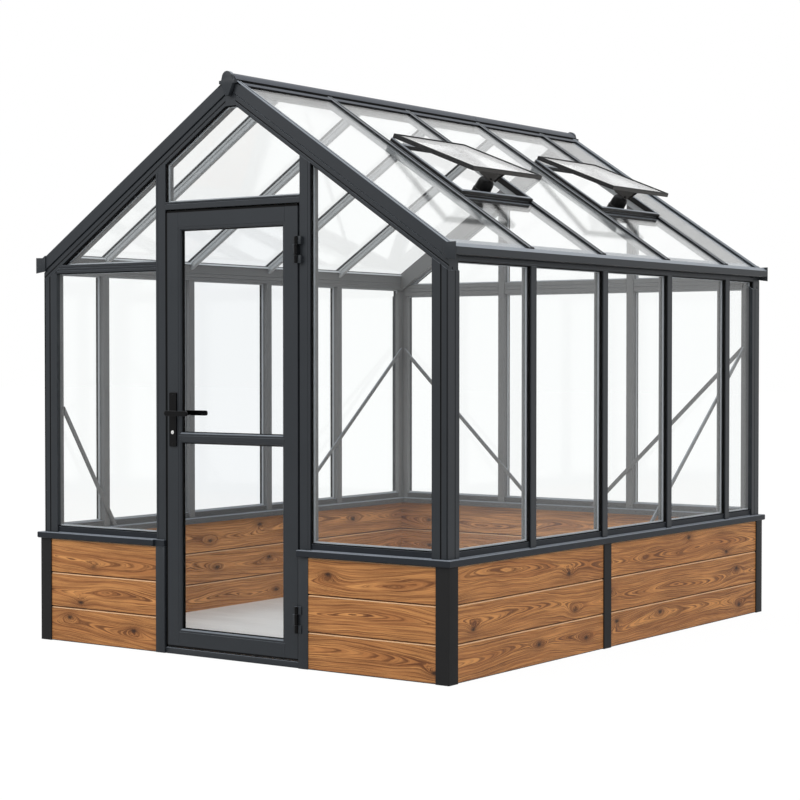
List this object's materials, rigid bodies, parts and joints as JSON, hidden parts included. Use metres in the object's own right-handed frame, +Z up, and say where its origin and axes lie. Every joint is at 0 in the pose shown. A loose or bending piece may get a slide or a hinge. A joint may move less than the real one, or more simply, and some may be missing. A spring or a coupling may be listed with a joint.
{
  "type": "glass greenhouse",
  "caption": "Small gabled glass greenhouse with an anthracite aluminium frame on a timber knee wall, a glazed hinged door in the gable end and two roof vents propped open.",
  "frame": {"origin": "under the middle of the floor, at ground level", "axes": "+Z up, Y along the ridge with the door gable facing -Y, +X towards the roof slope with the vents"},
  "size_m": [2.498, 3.107, 2.6994],
  "materials": {
    "anthracite_aluminium": "fine textured satin",
    "cedar_boards": "oiled, with knots",
    "clear_glass": "polished",
    "pale_paving": "matt",
    "black_fittings": "satin"
  },
  "bodies": {
    "house": {"back_braces": "anthracite_aluminium", "back_posts": "anthracite_aluminium", "back_rafters": "anthracite_aluminium", "back_ties": "anthracite_aluminium", "base_corner_posts": "anthracite_aluminium", "base_door_posts": "anthracite_aluminium", "base_mid_posts": "anthracite_aluminium", "cap_rail_back": "anthracite_aluminium", "cap_rail_front": "anthracite_aluminium", "cap_rail_left": "anthracite_aluminium", "cap_rail_right": "anthracite_aluminium", "corner_posts": "anthracite_aluminium", "door_lintel": "anthracite_aluminium", "door_posts": "anthracite_aluminium", "door_sill": "anthracite_aluminium", "eave_beams": "anthracite_aluminium", "eave_end_caps": "anthracite_aluminium", "floor_slab": "pale_paving", "front_rafters": "anthracite_aluminium", "front_tie": "anthracite_aluminium", "gable_glass_back": "clear_glass", "gable_glass_front": "clear_glass", "gutters": "anthracite_aluminium", "hinge_frames": "black_fittings", "knee_wall_back": "cedar_boards", "knee_wall_front": "cedar_boards", "knee_wall_sides": "cedar_boards", "ridge_beam": "anthracite_aluminium", "ridge_caps": "anthracite_aluminium", "ridge_end_caps": "anthracite_aluminium", "roof_bars": "anthracite_aluminium", "roof_glass_left": "clear_glass", "roof_glass_right": "clear_glass", "side_braces": "anthracite_aluminium", "side_posts": "anthracite_aluminium", "vent_cross_bars": "anthracite_aluminium", "vent_glass": "clear_glass", "vent_openers": "black_fittings", "vent_sashes": "anthracite_aluminium", "vent_side_curbs": "anthracite_aluminium", "wall_glass": "clear_glass"},
    "door": {"door_stiles": "anthracite_aluminium", "door_rails": "anthracite_aluminium", "door_glass": "clear_glass", "hinge_leaves": "black_fittings", "handle_plates": "black_fittings"},
    "lever": {"door_lever": "black_fittings"}
  },
  "joints": [
    {"name": "door_hinge", "type": "hinge", "parent": "house", "child": "door", "pos_m": [0.398, -1.531, 1], "axis": [0, 0, 1], "range_deg": [0, 110]},
    {"name": "lever_turn", "type": "hinge", "parent": "door", "child": "lever", "pos_m": [-0.348, -1.494, 1.132], "axis": [0, 1, 0], "range_deg": [0, 40], "stiffness_Nm_per_rad": 1.5, "springref_deg": -28.65}
  ]
}
